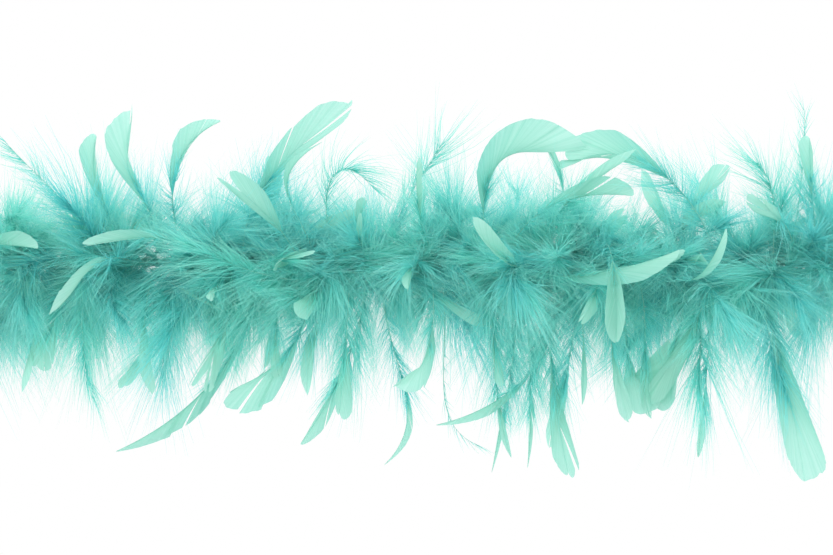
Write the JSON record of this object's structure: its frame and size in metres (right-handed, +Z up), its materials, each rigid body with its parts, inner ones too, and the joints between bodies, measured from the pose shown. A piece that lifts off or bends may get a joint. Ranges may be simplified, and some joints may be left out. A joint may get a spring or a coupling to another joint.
{
  "type": "feather boa",
  "caption": "Flexible feather scarf: long feathers trapped all round a twisted cord, with a loop at one end and a knot at the other.",
  "frame": {"origin": "on the cord's axis, at the middle of its feathered length", "axes": "+X along the straight boa, from the loop's end to the knot's end, +Z up"},
  "size_m": [1.8743, 0.2296, 0.2344],
  "materials": {
    "feather": "dyed down and satin blade tips, soft sheen",
    "cord_yarn": "dyed twisted cotton yarn, matt",
    "thread": "fine dyed locking thread"
  },
  "bodies": {
    "segment_01": {"core_cord_01": "cord_yarn", "binding_thread_01": "thread", "feathers_01": "feather"},
    "segment_02": {"core_cord_02": "cord_yarn", "binding_thread_02": "thread", "feathers_02": "feather"},
    "segment_03": {"core_cord_03": "cord_yarn", "binding_thread_03": "thread", "feathers_03": "feather"},
    "segment_04": {"core_cord_04": "cord_yarn", "binding_thread_04": "thread", "feathers_04": "feather"},
    "segment_05": {"core_cord_05": "cord_yarn", "binding_thread_05": "thread", "feathers_05": "feather"},
    "segment_06": {"core_cord_06": "cord_yarn", "binding_thread_06": "thread", "feathers_06": "feather"},
    "segment_07": {"core_cord_07": "cord_yarn", "binding_thread_07": "thread", "feathers_07": "feather"},
    "segment_08": {"core_cord_08": "cord_yarn", "binding_thread_08": "thread", "feathers_08": "feather"},
    "segment_09": {"core_cord_09": "cord_yarn", "binding_thread_09": "thread", "feathers_09": "feather"},
    "segment_10": {"core_cord_10": "cord_yarn", "binding_thread_10": "thread", "feathers_10": "feather"},
    "segment_11": {"core_cord_11": "cord_yarn", "binding_thread_11": "thread", "feathers_11": "feather"},
    "segment_12": {"core_cord_12": "cord_yarn", "binding_thread_12": "thread", "feathers_12": "feather"},
    "segment_13": {"core_cord_13": "cord_yarn", "binding_thread_13": "thread", "feathers_13": "feather"},
    "segment_14": {"core_cord_14": "cord_yarn", "binding_thread_14": "thread", "feathers_14": "feather"},
    "segment_15": {"core_cord_15": "cord_yarn", "binding_thread_15": "thread", "feathers_15": "feather"},
    "segment_16": {"core_cord_16": "cord_yarn", "binding_thread_16": "thread", "feathers_16": "feather"},
    "segment_17": {"core_cord_17": "cord_yarn", "binding_thread_17": "thread", "feathers_17": "feather", "end_knot": "cord_yarn"},
    "loop": {"end_loop": "cord_yarn", "loop_whipping": "thread"},
    "tail": {"cord_tail": "cord_yarn"}
  },
  "joints": [
    {"name": "bend_01", "type": "hinge", "parent": "segment_02", "child": "segment_01", "pos_m": [-0.7875, 0, 0], "axis": [0, 0, -1], "range_deg": [-35, 35]},
    {"name": "bend_02", "type": "hinge", "parent": "segment_03", "child": "segment_02", "pos_m": [-0.6825, 0, 0], "axis": [0, -1, 0], "range_deg": [-35, 35]},
    {"name": "bend_03", "type": "hinge", "parent": "segment_04", "child": "segment_03", "pos_m": [-0.5775, 0, 0], "axis": [0, 0, -1], "range_deg": [-35, 35]},
    {"name": "bend_04", "type": "hinge", "parent": "segment_05", "child": "segment_04", "pos_m": [-0.4725, 0, 0], "axis": [0, -1, 0], "range_deg": [-35, 35]},
    {"name": "bend_05", "type": "hinge", "parent": "segment_06", "child": "segment_05", "pos_m": [-0.3675, 0, 0], "axis": [0, 0, 1], "range_deg": [-35, 35]},
    {"name": "bend_06", "type": "hinge", "parent": "segment_07", "child": "segment_06", "pos_m": [-0.2625, 0, 0], "axis": [0, 1, 0], "range_deg": [-35, 35]},
    {"name": "bend_07", "type": "hinge", "parent": "segment_08", "child": "segment_07", "pos_m": [-0.1575, 0, 0], "axis": [0, 0, 1], "range_deg": [-35, 35]},
    {"name": "bend_08", "type": "hinge", "parent": "segment_09", "child": "segment_08", "pos_m": [-0.0525, 0, 0], "axis": [0, 1, 0], "range_deg": [-35, 35]},
    {"name": "bend_09", "type": "hinge", "parent": "segment_09", "child": "segment_10", "pos_m": [0.0525, 0, 0], "axis": [0, 0, 1], "range_deg": [-35, 35]},
    {"name": "bend_10", "type": "hinge", "parent": "segment_10", "child": "segment_11", "pos_m": [0.1575, 0, 0], "axis": [0, 1, 0], "range_deg": [-35, 35]},
    {"name": "bend_11", "type": "hinge", "parent": "segment_11", "child": "segment_12", "pos_m": [0.2625, 0, 0], "axis": [0, 0, 1], "range_deg": [-35, 35]},
    {"name": "bend_12", "type": "hinge", "parent": "segment_12", "child": "segment_13", "pos_m": [0.3675, 0, 0], "axis": [0, 1, 0], "range_deg": [-35, 35]},
    {"name": "bend_13", "type": "hinge", "parent": "segment_13", "child": "segment_14", "pos_m": [0.4725, 0, 0], "axis": [0, 0, -1], "range_deg": [-35, 35]},
    {"name": "bend_14", "type": "hinge", "parent": "segment_14", "child": "segment_15", "pos_m": [0.5775, 0, 0], "axis": [0, -1, 0], "range_deg": [-35, 35]},
    {"name": "bend_15", "type": "hinge", "parent": "segment_15", "child": "segment_16", "pos_m": [0.6825, 0, 0], "axis": [0, 0, -1], "range_deg": [-35, 35]},
    {"name": "bend_16", "type": "hinge", "parent": "segment_16", "child": "segment_17", "pos_m": [0.7875, 0, 0], "axis": [0, -1, 0], "range_deg": [-35, 35]},
    {"name": "loop_swing", "type": "hinge", "parent": "segment_01", "child": "loop", "pos_m": [-0.8925, 0, 0], "axis": [0, 1, 0], "range_deg": [-60, 60]},
    {"name": "tail_swing", "type": "hinge", "parent": "segment_17", "child": "tail", "pos_m": [0.908, 0, 0], "axis": [0, 0, 1], "range_deg": [-60, 60]}
  ]
}
